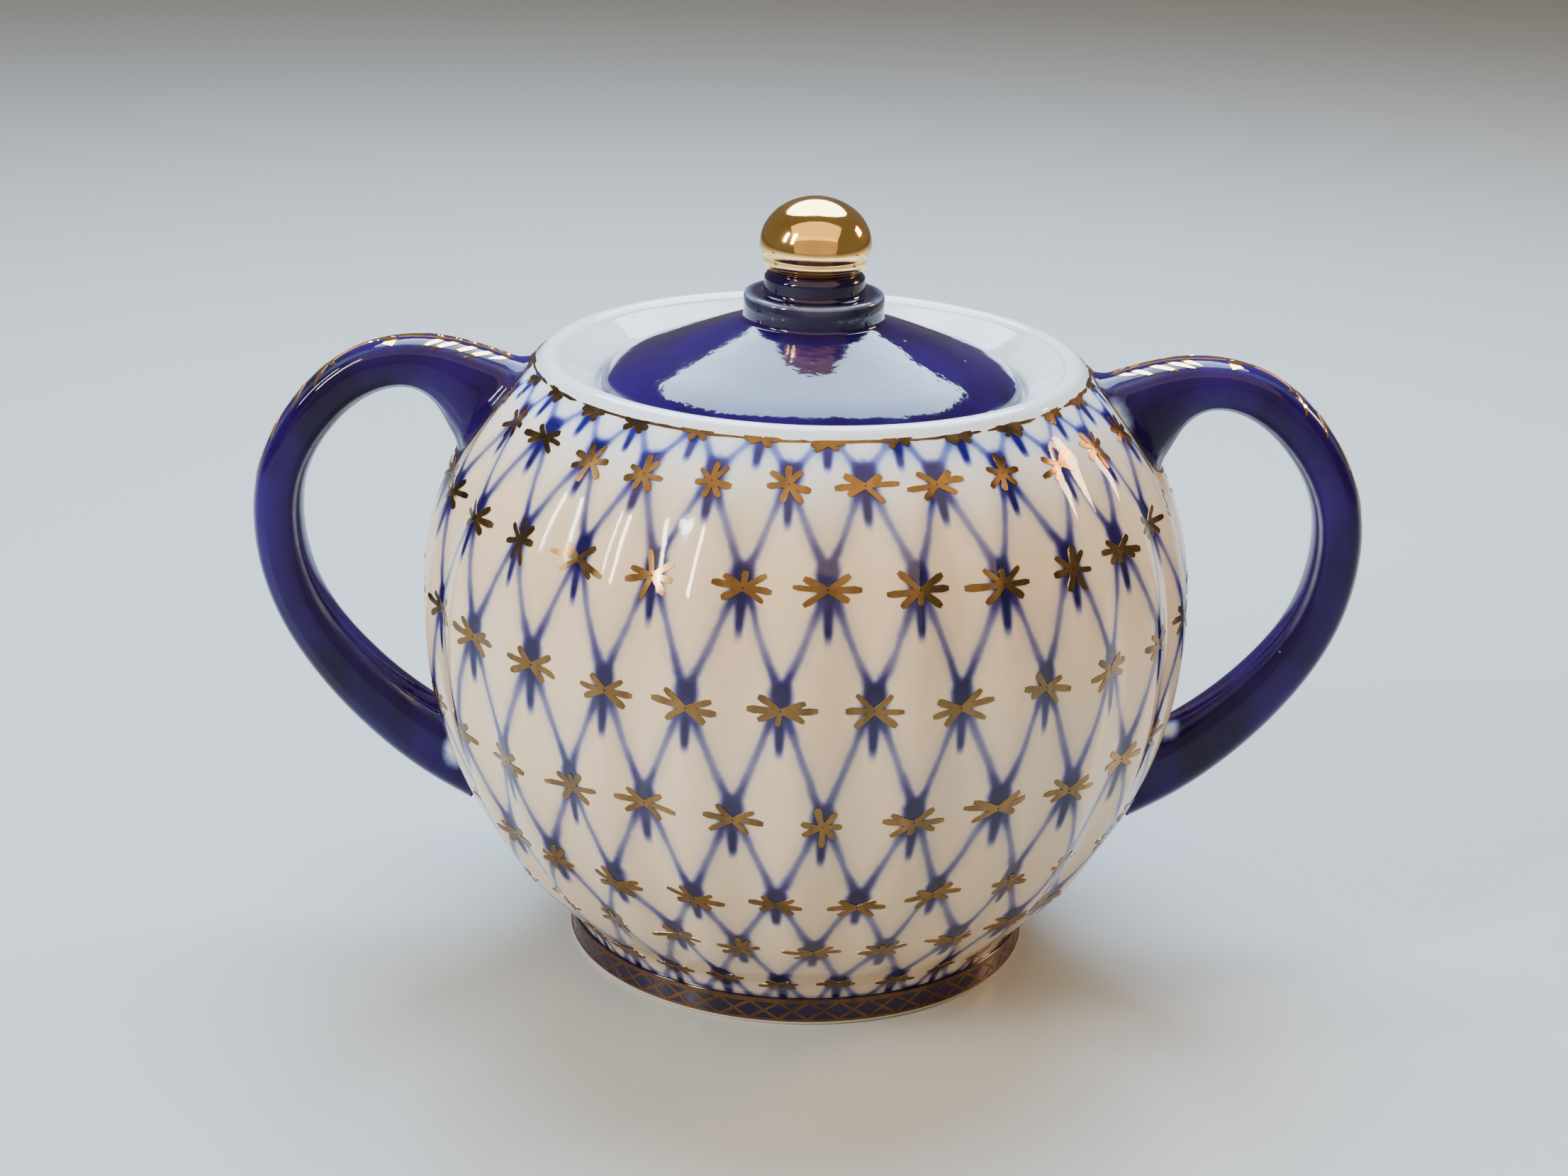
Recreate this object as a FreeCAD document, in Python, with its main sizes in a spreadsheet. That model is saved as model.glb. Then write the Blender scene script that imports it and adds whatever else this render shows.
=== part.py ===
"""Lidded two-handled porcelain sugar bowl.

Millimetres, +Z up, origin at the middle of the foot ring's underside.  The handles
lie along X.  The bowl stands on its foot; the lid rests on a ledge inside the rim.
"""
import FreeCAD, Part
import math
import os
import Sketcher

from FreeCAD import Vector

# Driving dimensions: alias -> (value in mm, meaning).
DIMENSIONS = {
    "belly_radius": (60.3, "mean outside radius at the widest level"),
    "belly_level": (58.5, "height of the widest level"),
    "belly_rise": (53.2, "half height of the upper half ellipse"),
    "belly_drop": (66.0, "half height of the lower half ellipse"),
    "lobe_depth": (0.55, "half the depth of the upright lobes"),
    "foot_radius": (37.2, "outside radius of the foot ring"),
    "foot_bore": (33.6, "inside radius of the foot ring"),
    "foot_height": (4.6, "height of the foot ring's band"),
    "foot_land": (36.6, "outside radius of the face the bowl stands on"),
    "floor_under": (3.6, "underside of the bowl's floor"),
    "floor_top": (8.5, "inside of the bowl's floor"),
    "floor_radius": (27.0, "radius of the flat inside floor"),
    "inner_radius": (57.0, "inside radius at the widest level"),
    "roof_radius": (40.9, "radius where the inside meets the rim"),
    "roof_height": (93.0, "height where the inside meets the rim"),
    "throat_radius": (29.8, "radius of the mouth inside the ledge"),
    "throat_under": (88.6, "underside of the ledge"),
    "seat_height": (91.6, "ledge that the lid rests on"),
    "seat_radius": (33.4, "outside radius of the ledge"),
    "lip_inner": (38.7, "radius where the sloping gallery meets the lip"),
    "lip_outer": (42.4, "radius where the lip meets the shoulder"),
    "lip_height": (96.6, "height of the lip's inner edge"),
    "lid_radius": (32.7, "outside radius of the lid's edge"),
    "lid_level": (91.7, "underside of the lid's edge"),
    "lid_crown": (97.2, "height where the cone starts to round over to the edge"),
    "flange_radius": (29.0, "outside radius of the locating flange"),
    "flange_bore": (26.4, "inside radius of the locating flange"),
    "flange_foot": (85.5, "lower edge of the locating flange"),
    "lid_hollow": (99.6, "top of the hollow under the lid"),
    "hollow_radius": (8.0, "radius of the flat at the top of that hollow"),
    "collar_radius": (10.9, "outside radius of the collar"),
    "collar_foot": (103.1, "where the collar leaves the cone"),
    "collar_top": (107.1, "flat top of the collar"),
    "neck_radius": (7.8, "radius of the neck under the knob"),
    "neck_top": (110.6, "face the knob is joined to"),
    "knob_base": (7.0, "radius of the knob's underside"),
    "knob_radius": (8.7, "radius of the knob at its widest"),
    "knob_level": (114.2, "height of the knob's widest level"),
    "knob_shoulder": (120.1, "height where the side turns into the top"),
    "knob_cap": (5.63, "radius of the knob where the side turns into the top"),
    "knob_top": (121.87, "top of the knob"),
    "handle_half_width": (4.5, "half the handle's width at mid height"),
    "wall_bend": (56.67, "radius of the inside's curve below the widest level"),
    "roof_bend": (45.0, "radius of the inside's curve above the widest level"),
    "lip_round": (2.3, "radius of the lip's top"),
    "edge_under": (1.1, "radius under the lid's edge"),
    "edge_over": (1.7, "radius over the lid's edge"),
    "lid_bend": (19.5, "radius that turns the lid's cone down to its edge"),
    "collar_round": (0.7, "radius on the collar's upper edge"),
    "knob_under": (2.4, "radius of the knob's underside"),
    "knob_side": (7.2, "radius of the knob's side"),
}
# The sketcher's numbers for a point at the origin, an arc's centre and the upright axis.
ORIGIN_ELEMENT = -1
ORIGIN_POINT = 1
CENTRE = 3
VERTICAL_AXIS = -2
ON_AXIS = "on the axis"

LOBES = 24
POINTS_PER_LOBE = 6
SECTION_POINTS = 20
SECTION_POWER = 2.7
BELLY_LEVELS = (16, 22, 30, 40, 50, 60, 70, 79, 86, 91, 94, 96.2)
LOWEST_RADII = {3.6: 36.4, 7: 38.2, 11: 41.7}
LOBE_FADE_LOW = 14.0
LOBE_FADE_HIGH = 9.0
LOBE_TOP = 96.2

# The handle's line from inside the shoulder out, round and back into the belly:
# distance from the axis, height, half thickness, and width as a share of the width at mid height.
HANDLE_LINE = (
    (45.0, 84.4, 9.4, 1.35),
    (50.0, 88.3, 8.2, 1.28),
    (54.8, 91.9, 5.9, 1.15),
    (61.0, 94.2, 4.2, 1.04),
    (69.0, 92.9, 3.8, 1.0),
    (77.6, 86.0, 3.8, 1.0),
    (82.9, 76.0, 3.8, 1.0),
    (83.7, 66.0, 3.9, 1.0),
    (80.8, 54.8, 4.1, 1.02),
    (74.2, 44.6, 4.6, 1.06),
    (65.5, 35.9, 5.2, 1.12),
    (57.5, 30.2, 5.7, 1.18),
    (51.0, 26.6, 5.9, 1.2),
)


def make_sheet(doc):
    """Put every driving dimension in the spreadsheet, with its alias and meaning."""
    sheet = doc.addObject("Spreadsheet::Sheet", "Dimensions")
    for row, (alias, (value, meaning)) in enumerate(DIMENSIONS.items(), start=1):
        sheet.set(f"A{row}", alias)
        sheet.set(f"B{row}", str(value))
        sheet.set(f"C{row}", meaning)
        sheet.setAlias(f"B{row}", alias)
    doc.recompute()
    return sheet


def size(sheet, place):
    """Number behind a place: a plain number, an alias, or (alias, offset)."""
    if isinstance(place, tuple):
        return float(sheet.get(place[0])) + place[1]
    if isinstance(place, str):
        return float(sheet.get(place))
    return float(place)


def bind(sketch, constraint, place):
    """Tie a dimension of the sketch to its cell, where it has one."""
    index = sketch.addConstraint(constraint)
    if isinstance(place, tuple):
        sketch.setExpression(f"Constraints[{index}]", f"Dimensions.{place[0]} + {place[1]}")
    elif isinstance(place, str):
        sketch.setExpression(f"Constraints[{index}]", f"Dimensions.{place}")


def arc_radius(sheet, place, start, end):
    """Radius of an arc; one that is centred on the axis takes it from its two ends."""
    if place != ON_AXIS:
        return size(sheet, place)
    rise = abs(end.y - start.y)
    return (start.x ** 2 + rise ** 2) / (2 * rise)


def arc_between(start, end, radius, bulge):
    """Circular arc from start to end; bulge is +1 or -1, the side it swells to."""
    chord = end - start
    half = chord.Length / 2
    sagitta = radius - math.sqrt(radius ** 2 - half ** 2)
    side = Vector(-chord.y, chord.x, 0).normalize() * bulge
    return Part.Arc(start, (start + end) / 2 + side * sagitta, end)


def edge_ends(sketch, corners):
    """For each edge, the sketcher's numbers of its first and last point.

    The sketcher stores every arc anticlockwise, so some arcs run backwards.
    """
    ends = []
    for index, corner in enumerate(corners):
        forwards = sketch.Geometry[index].StartPoint.distanceToPoint(corner) < 1e-6
        ends.append((1, 2) if forwards else (2, 1))
    return ends


def turned_body(doc, sheet, name, outline):
    """Body turned round Z from a closed outline of (radius, height[, arc radius, bulge]).

    The third and fourth values of a point shape the stretch that leads to the next one.
    """
    body = doc.addObject("PartDesign::Body", name)
    plane = next(f for f in body.Origin.OriginFeatures if f.Role == "XZ_Plane")
    sketch = body.newObject("Sketcher::SketchObject", name + "_outline")
    sketch.AttachmentSupport = (plane, [""])
    sketch.MapMode = "FlatFace"
    corners = [Vector(size(sheet, p[0]), size(sheet, p[1]), 0) for p in outline]
    for index, point in enumerate(outline):
        start, end = corners[index], corners[(index + 1) % len(outline)]
        if len(point) == 4:
            curve = arc_between(start, end, arc_radius(sheet, point[2], start, end), point[3])
        else:
            curve = Part.LineSegment(start, end)
        sketch.addGeometry(curve, False)
    ends = edge_ends(sketch, corners)
    for index, point in enumerate(outline):
        following = (index + 1) % len(outline)
        sketch.addConstraint(Sketcher.Constraint(
            "Coincident", index, ends[index][1], following, ends[following][0]))
        corner = corners[index]
        from_origin = (ORIGIN_ELEMENT, ORIGIN_POINT, index, ends[index][0])
        bind(sketch, Sketcher.Constraint("DistanceX", *from_origin, corner.x), point[0])
        bind(sketch, Sketcher.Constraint("DistanceY", *from_origin, corner.y), point[1])
        if len(point) == 4 and point[2] == ON_AXIS:
            sketch.addConstraint(Sketcher.Constraint("PointOnObject", index, CENTRE, VERTICAL_AXIS))
        elif len(point) == 4:
            bind(sketch, Sketcher.Constraint("Radius", index, size(sheet, point[2])), point[2])
    turn = body.newObject("PartDesign::Revolution", name + "_turned")
    turn.Profile = sketch
    turn.ReferenceAxis = (sketch, ["V_Axis"])
    turn.Angle = 360
    body.Tip = turn
    return body


def belly_radius_at(sheet, height):
    """Mean outside radius of the bowl: two half ellipses, flared where they reach the foot."""
    if height in LOWEST_RADII:
        return LOWEST_RADII[height]
    above = height - sheet.belly_level
    half = sheet.belly_rise if above > 0 else sheet.belly_drop
    return sheet.belly_radius * math.sqrt(1 - (above / half) ** 2)


def closed_curve(points):
    """Wire of one smooth closed curve through the points."""
    curve = Part.BSplineCurve()
    curve.interpolate(points, PeriodicFlag=True)
    return Part.Wire([curve.toShape()])


def lobed_ring(sheet, height):
    """Horizontal section of the bowl's outside, with lobes that fade towards foot and lip."""
    radius = belly_radius_at(sheet, height)
    fade_low = (height - sheet.floor_under) / LOBE_FADE_LOW
    fade_high = (LOBE_TOP - height) / LOBE_FADE_HIGH
    depth = sheet.lobe_depth * max(0.0, min(1.0, fade_low, fade_high))
    points = []
    for step in range(LOBES * POINTS_PER_LOBE):
        angle = 2 * math.pi * step / (LOBES * POINTS_PER_LOBE)
        reach = radius + depth * math.cos(LOBES * angle)
        points.append(Vector(reach * math.cos(angle), reach * math.sin(angle), height))
    return closed_curve(points)


def lobed_belly(doc, sheet):
    """The bowl's outside as one solid, skinned over its horizontal sections."""
    belly = doc.addObject("Part::Feature", "belly_solid")
    levels = sorted(LOWEST_RADII) + list(BELLY_LEVELS)
    belly.Shape = Part.makeLoft([lobed_ring(sheet, level) for level in levels], True)
    return belly


def handle_ring(here, along, half_thickness, half_width):
    """Rounded-square section across the handle's line."""
    outwards = Vector(along.z, 0, -along.x)
    points = []
    for step in range(SECTION_POINTS):
        angle = 2 * math.pi * step / SECTION_POINTS
        across, up = math.sin(angle), math.cos(angle)
        across = math.copysign(abs(across) ** (2 / SECTION_POWER), across)
        up = math.copysign(abs(up) ** (2 / SECTION_POWER), up)
        sideways = Vector(0, across * half_width, 0)
        points.append(here + outwards * (up * half_thickness) + sideways)
    return closed_curve(points)


def handle_solid(doc, sheet):
    """The right handle before its ends are trimmed to the bowl."""
    centres = [Vector(reach, 0, height) for reach, height, _, _ in HANDLE_LINE]
    line = Part.BSplineCurve()
    line.interpolate(centres)
    rings = []
    for centre, (_, _, half_thickness, share) in zip(centres, HANDLE_LINE):
        along = line.tangent(line.parameter(centre))[0]
        rings.append(handle_ring(centre, along, half_thickness, sheet.handle_half_width * share))
    raw = doc.addObject("Part::Feature", "handle_untrimmed")
    raw.Shape = Part.makeLoft(rings, True)
    return raw


def combine(doc, kind, name, base, tool):
    """Part::Cut of two objects, or their Part::Fuse."""
    result = doc.addObject(kind, name)
    result.Base = base
    result.Tool = tool
    return result


def mirrored(doc, name, source):
    """The piece on the other side of the plane across X."""
    result = doc.addObject("Part::Mirroring", name)
    result.Source = source
    result.Normal = Vector(1, 0, 0)
    return result


FOOT_OUTLINE = (
    ("foot_bore", 0.4),
    (("foot_bore", 0.5), 0),
    ("foot_land", 0),
    ("foot_radius", 0.8),
    ("foot_radius", "foot_height"),
    ("foot_bore", "foot_height"),
)
CAVITY_OUTLINE = (
    (0, "floor_top"),
    ("floor_radius", "floor_top", "wall_bend", -1),
    ("inner_radius", "belly_level", "roof_bend", -1),
    ("roof_radius", "roof_height"),
    (("roof_radius", -4.4), "throat_under"),
    ("throat_radius", "throat_under"),
    ("throat_radius", "seat_height"),
    ("seat_radius", "seat_height"),
    (("seat_radius", 0.2), ("seat_height", 1.2)),
    ("lip_inner", "lip_height"),
    ("lip_inner", ("lip_height", 6)),
    (0, ("lip_height", 6)),
)
LIP_OUTLINE = (
    (("lip_inner", -2), ("lip_height", -1.8)),
    ("lip_outer", ("lip_height", -1.8)),
    ("lip_outer", ("lip_height", -0.4), "lip_round", -1),
    ("lip_inner", "lip_height"),
)
LID_OUTLINE = (
    (0, "lid_hollow"),
    ("hollow_radius", "lid_hollow"),
    ("flange_bore", ("lid_level", 0.9)),
    ("flange_bore", "flange_foot"),
    ("flange_radius", "flange_foot"),
    ("flange_radius", "lid_level"),
    (("lid_radius", -0.8), "lid_level", "edge_under", -1),
    ("lid_radius", ("lid_level", 1.2), "edge_over", -1),
    (("lid_radius", -0.7), ("lid_level", 2.5), "lid_bend", -1),
    (("lid_radius", -6.0), "lid_crown"),
    ("collar_radius", "collar_foot"),
    ("collar_radius", ("collar_top", -0.6), "collar_round", -1),
    (("collar_radius", -0.6), "collar_top"),
    (("neck_radius", 0.3), "collar_top"),
    ("neck_radius", ("collar_top", 0.5)),
    ("neck_radius", ("neck_top", -1.0)),
    ("knob_base", "neck_top"),
    (0, "neck_top"),
)
KNOB_OUTLINE = (
    (0, "neck_top"),
    ("knob_base", "neck_top", "knob_under", -1),
    (("knob_radius", -0.55), ("knob_level", -1.3)),
    ("knob_radius", "knob_level", "knob_side", -1),
    ("knob_cap", "knob_shoulder", ON_AXIS, -1),
    (0, "knob_top"),
)


def build(doc):
    """Make every piece; returns them by the name each is known by."""
    sheet = make_sheet(doc)
    belly = lobed_belly(doc, sheet)
    foot = turned_body(doc, sheet, "foot_ring", FOOT_OUTLINE)
    cavity = turned_body(doc, sheet, "cavity", CAVITY_OUTLINE)
    lid = turned_body(doc, sheet, "lid_shell", LID_OUTLINE)
    knob = turned_body(doc, sheet, "lid_knob", KNOB_OUTLINE)
    lip = turned_body(doc, sheet, "lip_ring", LIP_OUTLINE)
    footed = combine(doc, "Part::Fuse", "belly_and_foot", belly, foot)
    lipped = combine(doc, "Part::Fuse", "belly_foot_and_lip", footed, lip)
    handle = combine(doc, "Part::Cut", "handle_right", handle_solid(doc, sheet), belly)
    pieces = {
        "bowl_body": combine(doc, "Part::Cut", "bowl_body", lipped, cavity),
        "lid_shell": lid,
        "lid_knob": knob,
        "handle_right": handle,
        "handle_left": mirrored(doc, "handle_left", handle),
    }
    doc.recompute()
    return pieces


def check(doc, pieces):
    """Stop if any object failed or any piece is not one sound solid."""
    for item in doc.Objects:
        if "Invalid" in item.State or "Error" in item.State:
            raise RuntimeError(f"{item.Label} did not build: {item.State}")
    for name, piece in pieces.items():
        shape = piece.Shape
        if shape.isNull() or not shape.isValid() or len(shape.Solids) != 1:
            raise RuntimeError(f"{name} is not one sound solid")
        box = shape.BoundBox
        print(f"{name}: {shape.Volume / 1000:.2f} cm3, "
              f"X {box.XMin:.1f}..{box.XMax:.1f}, Z {box.ZMin:.1f}..{box.ZMax:.1f}")


def main():
    os.makedirs("parts", exist_ok=True)
    doc = FreeCAD.newDocument("sugar_bowl")
    pieces = build(doc)
    check(doc, pieces)
    for name, piece in pieces.items():
        piece.Label = name
        piece.Shape.exportStep(f"parts/{name}.step")


main()
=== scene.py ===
"""Looks of the lidded porcelain sugar bowl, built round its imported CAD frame.

Lengths are in millimetres until a mesh is made.  An angle round the bowl starts at
the front (-Y) and grows towards +X.
"""

import math
import random

import bmesh
import bpy
import numpy as np
from mathutils import Matrix, Vector


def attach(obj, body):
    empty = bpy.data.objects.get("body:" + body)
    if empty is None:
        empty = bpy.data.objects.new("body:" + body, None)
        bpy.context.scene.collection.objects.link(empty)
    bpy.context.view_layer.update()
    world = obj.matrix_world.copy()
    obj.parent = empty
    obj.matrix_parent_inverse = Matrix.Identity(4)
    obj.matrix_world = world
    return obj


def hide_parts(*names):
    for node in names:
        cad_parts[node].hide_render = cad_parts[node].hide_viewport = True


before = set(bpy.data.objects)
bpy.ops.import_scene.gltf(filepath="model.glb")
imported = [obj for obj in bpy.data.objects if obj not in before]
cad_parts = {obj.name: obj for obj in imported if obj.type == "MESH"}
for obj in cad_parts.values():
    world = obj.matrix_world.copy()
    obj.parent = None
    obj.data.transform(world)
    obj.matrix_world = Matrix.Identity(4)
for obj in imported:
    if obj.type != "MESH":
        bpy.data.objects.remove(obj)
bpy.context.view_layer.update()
MM = 0.001
TURN = 2 * math.pi
LONGEST_STEP = 1.5

# Bowl: the same numbers as its CAD source.
BELLY_RADIUS, BELLY_LEVEL, BELLY_RISE, BELLY_DROP = 60.3, 58.5, 53.2, 66.0
LOW_LEVELS = {3.6: 36.4, 7.0: 38.2, 11.0: 41.7}
LEVELS = (16, 22, 30, 40, 50, 60, 70, 79, 86, 91, 94, 96.2)
LOBES, LOBE_DEPTH, LOBE_FADE_LOW, LOBE_FADE_HIGH = 24, 0.55, 14.0, 9.0
FOOT_RADIUS = 37.2
STEPS_ROUND = 336

# Painted net: columns round the bowl and the heights of its rows of stars.
COLUMNS = 28
FIRST_COLUMN = 0.506
ROWS = (95.6, 90.5, 78.0, 61.5, 44.0, 28.5, 18.0, 8.0, 0.5)
KNOT_ABOVE_STAR = 1.6
SHORTEST_TASSEL, LONGEST_TASSEL = 6.8, 9.2
HAND = 0.42

# Handle line: distance from the axis, height, half thickness, share of the half width.
HANDLE_LINE = (
    (45.0, 84.4, 9.4, 1.35), (50.0, 88.3, 8.2, 1.28), (54.8, 91.9, 5.9, 1.15),
    (61.0, 94.2, 4.2, 1.04), (69.0, 92.9, 3.8, 1.0), (77.6, 86.0, 3.8, 1.0),
    (82.9, 76.0, 3.8, 1.0), (83.7, 66.0, 3.9, 1.0), (80.8, 54.8, 4.1, 1.02),
    (74.2, 44.6, 4.6, 1.06), (65.5, 35.9, 5.2, 1.12), (57.5, 30.2, 5.7, 1.18),
    (51.0, 26.6, 5.9, 1.2),
)
HANDLE_HALF_WIDTH = 4.5
SECTION_POWER = 2.7
JOINT_FILLET = 0.9

rng = random.Random(28)


# ---------------------------------------------------------------- curves

def spline(xs, ys):
    """Natural cubic spline through the rows of ys, as a function of an array."""
    xs, ys = np.asarray(xs, float), np.asarray(ys, float)
    gap, count = np.diff(xs), len(xs)
    slope = np.diff(ys, axis=0) / gap[:, None]
    system, right = np.eye(count), np.zeros_like(ys)
    for i in range(1, count - 1):
        system[i, i - 1:i + 2] = gap[i - 1], 2 * (gap[i - 1] + gap[i]), gap[i]
        right[i] = 6 * (slope[i] - slope[i - 1])
    bend = np.linalg.solve(system, right)

    def at(x):
        i = np.clip(np.searchsorted(xs, x) - 1, 0, count - 2)
        h, t = gap[i][..., None], (x - xs[i])[..., None]
        start = slope[i] - h * (2 * bend[i] + bend[i + 1]) / 6
        return ys[i] + t * start + t ** 2 * bend[i] / 2 + t ** 3 * (bend[i + 1] - bend[i]) / (6 * h)
    return at


def rounded(points):
    """Outline through (radius, height, rounding) corners, with a point every 1.5 mm or less."""
    line = []
    for i, (r, z, rounding) in enumerate(points):
        here = np.array((r, z))
        if rounding == 0 or i in (0, len(points) - 1):
            line.append(here)
            continue
        before, after = np.array(points[i - 1][:2]), np.array(points[i + 1][:2])
        a = here + (before - here) / np.linalg.norm(before - here) * rounding
        b = here + (after - here) / np.linalg.norm(after - here) * rounding
        for t in (0, 0.25, 0.5, 0.75, 1):
            line.append(a * (1 - t) ** 2 + here * 2 * t * (1 - t) + b * t ** 2)
    full = [line[0]]
    for a, b in zip(line, line[1:]):
        parts = max(1, math.ceil(np.linalg.norm(b - a) / LONGEST_STEP))
        full += [a + (b - a) * k / parts for k in range(1, parts + 1)]
    return np.array(full)


def arc(start, end, radius, bulge, steps):
    """Points of a circular arc from start to end, without its end."""
    start, end = np.array(start, float), np.array(end, float)
    chord = end - start
    half = np.linalg.norm(chord) / 2
    side = np.array((-chord[1], chord[0])) / (2 * half) * bulge
    centre = (start + end) / 2 - side * math.sqrt(radius ** 2 - half ** 2)
    a, b = (math.atan2(*(p - centre)[::-1]) for p in (start, end))
    b += TURN * round((a - b) / TURN)
    angles = np.linspace(a, b, steps, endpoint=False)
    return [(centre[0] + radius * math.cos(k), centre[1] + radius * math.sin(k), 0) for k in angles]


# ---------------------------------------------------------------- bowl's surface

def level_radius(z):
    if z in LOW_LEVELS:
        return LOW_LEVELS[z]
    half = BELLY_RISE if z > BELLY_LEVEL else BELLY_DROP
    return BELLY_RADIUS * math.sqrt(1 - ((z - BELLY_LEVEL) / half) ** 2)


levels = sorted(LOW_LEVELS) + list(LEVELS)
Z = np.linspace(levels[0], levels[-1], 1500)
R = spline(levels, [[level_radius(z)] for z in levels])(Z)[:, 0]
S = np.concatenate(([0], np.cumsum(np.hypot(np.diff(Z), np.diff(R)))))
SLOPE = np.gradient(R, Z)


def belly_length(z):
    """Distance up the bowl's outside from its lowest level."""
    return np.interp(z, Z, S)


def on_belly(angle, length, lift=0.0):
    """Points on the lobed outside."""
    z, r, slope = (np.interp(length, S, values) for values in (Z, R, SLOPE))
    fade = np.minimum((z - levels[0]) / LOBE_FADE_LOW, (levels[-1] - z) / LOBE_FADE_HIGH)
    reach = r + LOBE_DEPTH * np.clip(fade, 0, 1) * np.cos(LOBES * angle)
    steep = np.hypot(1, slope)
    reach = reach + lift / steep
    return np.stack((reach * np.sin(angle), -reach * np.cos(angle), z - lift * slope / steep), -1)


# ---------------------------------------------------------------- meshes

def make_mesh(name, points, faces, materials, body, face_materials=None):
    """Smooth mesh object from millimetre points, riding on a body."""
    mesh = bpy.data.meshes.new(name)
    mesh.from_pydata((np.asarray(points) * MM).tolist(), [], [list(map(int, f)) for f in faces])
    mesh.validate()
    for material in materials:
        mesh.materials.append(material)
    mesh.polygons.foreach_set("use_smooth", [True] * len(mesh.polygons))
    if face_materials is not None:
        mesh.polygons.foreach_set("material_index", face_materials)
    closed = bmesh.new()
    closed.from_mesh(mesh)
    bmesh.ops.recalc_face_normals(closed, faces=closed.faces)
    closed.to_mesh(mesh)
    closed.free()
    piece = bpy.data.objects.new(name, mesh)
    bpy.context.scene.collection.objects.link(piece)
    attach(piece, body)
    return piece


def circle(radius, height, angles):
    """Points of a level circle round the bowl's axis."""
    level = np.full(len(angles), height)
    return np.stack((radius * np.sin(angles), -radius * np.cos(angles), level), -1)


def ring_faces(rows, around, first=0, cap_start=False, cap_end=False):
    """Quads between rows of a closed ring of points; caps close the first or last row."""
    faces = []
    for i in range(rows - 1):
        a, b = first + i * around, first + (i + 1) * around
        faces += [(a + j, a + (j + 1) % around, b + (j + 1) % around, b + j) for j in range(around)]
    if cap_start:
        faces.append(tuple(first + j for j in reversed(range(around))))
    if cap_end:
        last = first + (rows - 1) * around
        faces.append(tuple(last + j for j in range(around)))
    return faces


def turned(name, outline, materials, body, steps=192, pick=None):
    """Solid of revolution from an open outline whose two ends lie on the axis."""
    angles = np.arange(steps) / steps * TURN
    inner = outline[1:-1]
    points = [(0, 0, outline[0][1])]
    for r, z in inner:
        points += circle(r, z, angles).tolist()
    points.append((0, 0, outline[-1][1]))
    faces = ring_faces(len(inner), steps, 1)
    last, end = 1 + (len(inner) - 1) * steps, len(points) - 1
    faces += [(0, 1 + (j + 1) % steps, 1 + j) for j in range(steps)]
    faces += [(last + j, last + (j + 1) % steps, end) for j in range(steps)]
    picks = None
    if pick:
        rows = [pick(*(inner[i] + inner[i + 1]) / 2) for i in range(len(inner) - 1)]
        picks = [k for k in rows for _ in range(steps)]
        picks += [pick(*inner[0])] * steps + [pick(*inner[-1])] * steps
    return make_mesh(name, points, faces, materials, body, picks)


class Strokes:
    """Thin closed strips of gold film laid on a surface."""

    def __init__(self, lift=0.09, sink=0.05):
        self.points, self.faces, self.lift, self.sink = [], [], lift, sink

    def add(self, place, line, half_widths):
        """place turns (x, y, lift) arrays into points; line is in the surface's own millimetres."""
        line, width = np.asarray(line, float), np.asarray(half_widths, float)
        along = np.gradient(line, axis=0)
        along /= np.maximum(np.linalg.norm(along, axis=1), 1e-9)[:, None]
        side = np.stack((-along[:, 1], along[:, 0]), 1)
        first = len(self.points)
        corners = ((-1, -self.sink), (-0.9, self.lift), (0, self.lift),
                   (0.9, self.lift), (1, -self.sink))
        rows = []
        for share, lift in corners:
            at = line + side * (width * share)[:, None]
            rows.append(place(at[:, 0], at[:, 1], np.full(len(at), lift)))
        for ring in np.stack(rows, 1):
            self.points += ring.tolist()
        self.faces += ring_faces(len(line), len(corners), first, True, True)

    def finish(self, name, material, body):
        piece = make_mesh(name, self.points, self.faces, [material], body)
        piece.data.set_sharp_from_angle(angle=math.radians(35))
        return piece


def path(start, turn, length):
    """Points of a short mark that starts at start and turns as it goes."""
    steps = np.stack((np.cos(turn), np.sin(turn)), 1) * length / len(turn)
    return np.asarray(start) + np.cumsum(steps, 0)


def brushed(start, angle, length, root, tip, bow=0.0, steps=6):
    """Line and half widths of one short brush mark with a rounded, heavier end."""
    t = np.linspace(0, 1, steps)
    turn = angle + bow * (t - 0.5)
    line = path(start, turn, length)
    line -= line[0] - start
    width = root + (tip - root) * np.minimum(1, t * 1.3)
    width[-1] *= 0.62
    return line, width


def leaf(start, angle, length, breadth, bow=0.4, steps=9):
    """Line and half widths of a pointed leaf or comma."""
    t = np.linspace(0, 1, steps)
    turn = angle + bow * (t - 0.5)
    line = path(start, turn, length)
    return line, breadth * (0.1 + np.sin(np.pi * t ** 0.8) ** 0.9 * 0.9)


# ---------------------------------------------------------------- materials

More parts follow.
